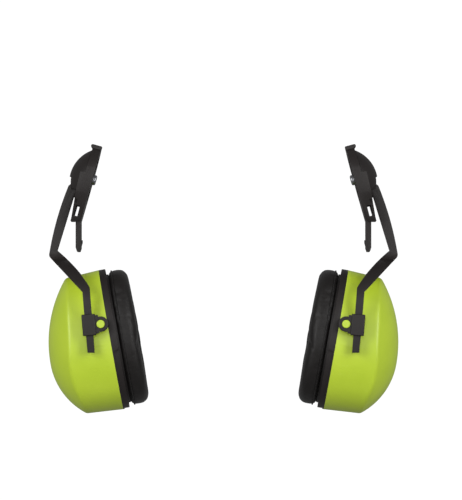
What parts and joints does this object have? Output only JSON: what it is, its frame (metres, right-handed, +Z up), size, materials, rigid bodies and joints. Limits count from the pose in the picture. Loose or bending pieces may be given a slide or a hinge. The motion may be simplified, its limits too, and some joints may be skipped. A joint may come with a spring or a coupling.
{
  "type": "helmet-mounted earmuffs",
  "caption": "Helmet-mounted earmuffs: oval cups on fork arms, with swing hubs and adapters for a hard hat's side slots.",
  "frame": {"origin": "halfway between the two helmet slots, level with their mouths, where the adapters' feet rest", "axes": "+X towards the wearer's left, the wearer faces -Y, +Z up"},
  "size_m": [0.2834, 0.1024, 0.2178],
  "materials": {
    "green_plastic": "satin lime-green moulded ABS",
    "black_plastic": "fine-textured black moulded nylon",
    "cushion_vinyl": "soft black vinyl with a low sheen",
    "liner_foam": "open-cell grey acoustic foam",
    "cushion_foam": "soft closed foam",
    "steel": "zinc-plated steel",
    "spring_steel": "rolled spring steel"
  },
  "bodies": {
    "helmet_adapters": {"left_helmet_adapter": "black_plastic", "left_pivot_screw": "steel", "left_wave_washer": "steel", "left_flat_washer": "steel", "left_lock_nut": "steel", "right_helmet_adapter": "black_plastic", "right_pivot_screw": "steel", "right_wave_washer": "steel", "right_flat_washer": "steel", "right_lock_nut": "steel"},
    "left_hub": {"left_hub_base": "black_plastic", "left_hub_cap": "black_plastic", "left_arm_hinge_pin": "steel", "left_arm_leaf_spring": "spring_steel"},
    "left_arm": {"left_arm_fork": "black_plastic"},
    "left_sliders": {"left_front_slider": "black_plastic", "left_rear_slider": "black_plastic"},
    "left_cup": {"left_cup_shell": "green_plastic", "left_front_cup_stud": "green_plastic", "left_rear_cup_stud": "green_plastic", "left_cup_base_plate": "black_plastic", "left_foam_liner": "liner_foam", "left_cushion_ring": "black_plastic", "left_ear_cushion": "cushion_vinyl", "left_cushion_foam": "cushion_foam"},
    "right_hub": {"right_hub_base": "black_plastic", "right_hub_cap": "black_plastic", "right_arm_hinge_pin": "steel", "right_arm_leaf_spring": "spring_steel"},
    "right_arm": {"right_arm_fork": "black_plastic"},
    "right_sliders": {"right_front_slider": "black_plastic", "right_rear_slider": "black_plastic"},
    "right_cup": {"right_cup_shell": "green_plastic", "right_front_cup_stud": "green_plastic", "right_rear_cup_stud": "green_plastic", "right_cup_base_plate": "black_plastic", "right_foam_liner": "liner_foam", "right_cushion_ring": "black_plastic", "right_ear_cushion": "cushion_vinyl", "right_cushion_foam": "cushion_foam"}
  },
  "joints": [
    {"name": "left_hub_swing", "type": "hinge", "parent": "helmet_adapters", "child": "left_hub", "pos_m": [0.1058, 0, 0.0337], "axis": [0.9636, 0, 0.2672], "range_deg": [-15, 95]},
    {"name": "left_arm_release", "type": "hinge", "parent": "left_hub", "child": "left_arm", "pos_m": [0.12014, 0, 0.02875], "axis": [0, -1, 0], "range_deg": [0, 32], "stiffness_Nm_per_rad": 3, "springref_deg": -17.19},
    {"name": "left_cup_height", "type": "slide", "parent": "left_arm", "child": "left_sliders", "axis": [0.0819, 0, 0.9966], "range_m": [-0.012, 0.007]},
    {"name": "left_cup_tilt", "type": "hinge", "parent": "left_sliders", "child": "left_cup", "pos_m": [0.0985, 0, -0.084], "axis": [0, -1, 0], "range_deg": [-12, 12]},
    {"name": "right_hub_swing", "type": "hinge", "parent": "helmet_adapters", "child": "right_hub", "pos_m": [-0.1058, 0, 0.0337], "axis": [0.9636, 0, -0.2672], "range_deg": [-15, 95]},
    {"name": "right_arm_release", "type": "hinge", "parent": "right_hub", "child": "right_arm", "pos_m": [-0.12014, 0, 0.02875], "axis": [0, 1, 0], "range_deg": [0, 32], "stiffness_Nm_per_rad": 3, "springref_deg": -17.19},
    {"name": "right_cup_height", "type": "slide", "parent": "right_arm", "child": "right_sliders", "axis": [-0.0819, 0, 0.9966], "range_m": [-0.012, 0.007]},
    {"name": "right_cup_tilt", "type": "hinge", "parent": "right_sliders", "child": "right_cup", "pos_m": [-0.0985, 0, -0.084], "axis": [0, 1, 0], "range_deg": [-12, 12]}
  ]
}
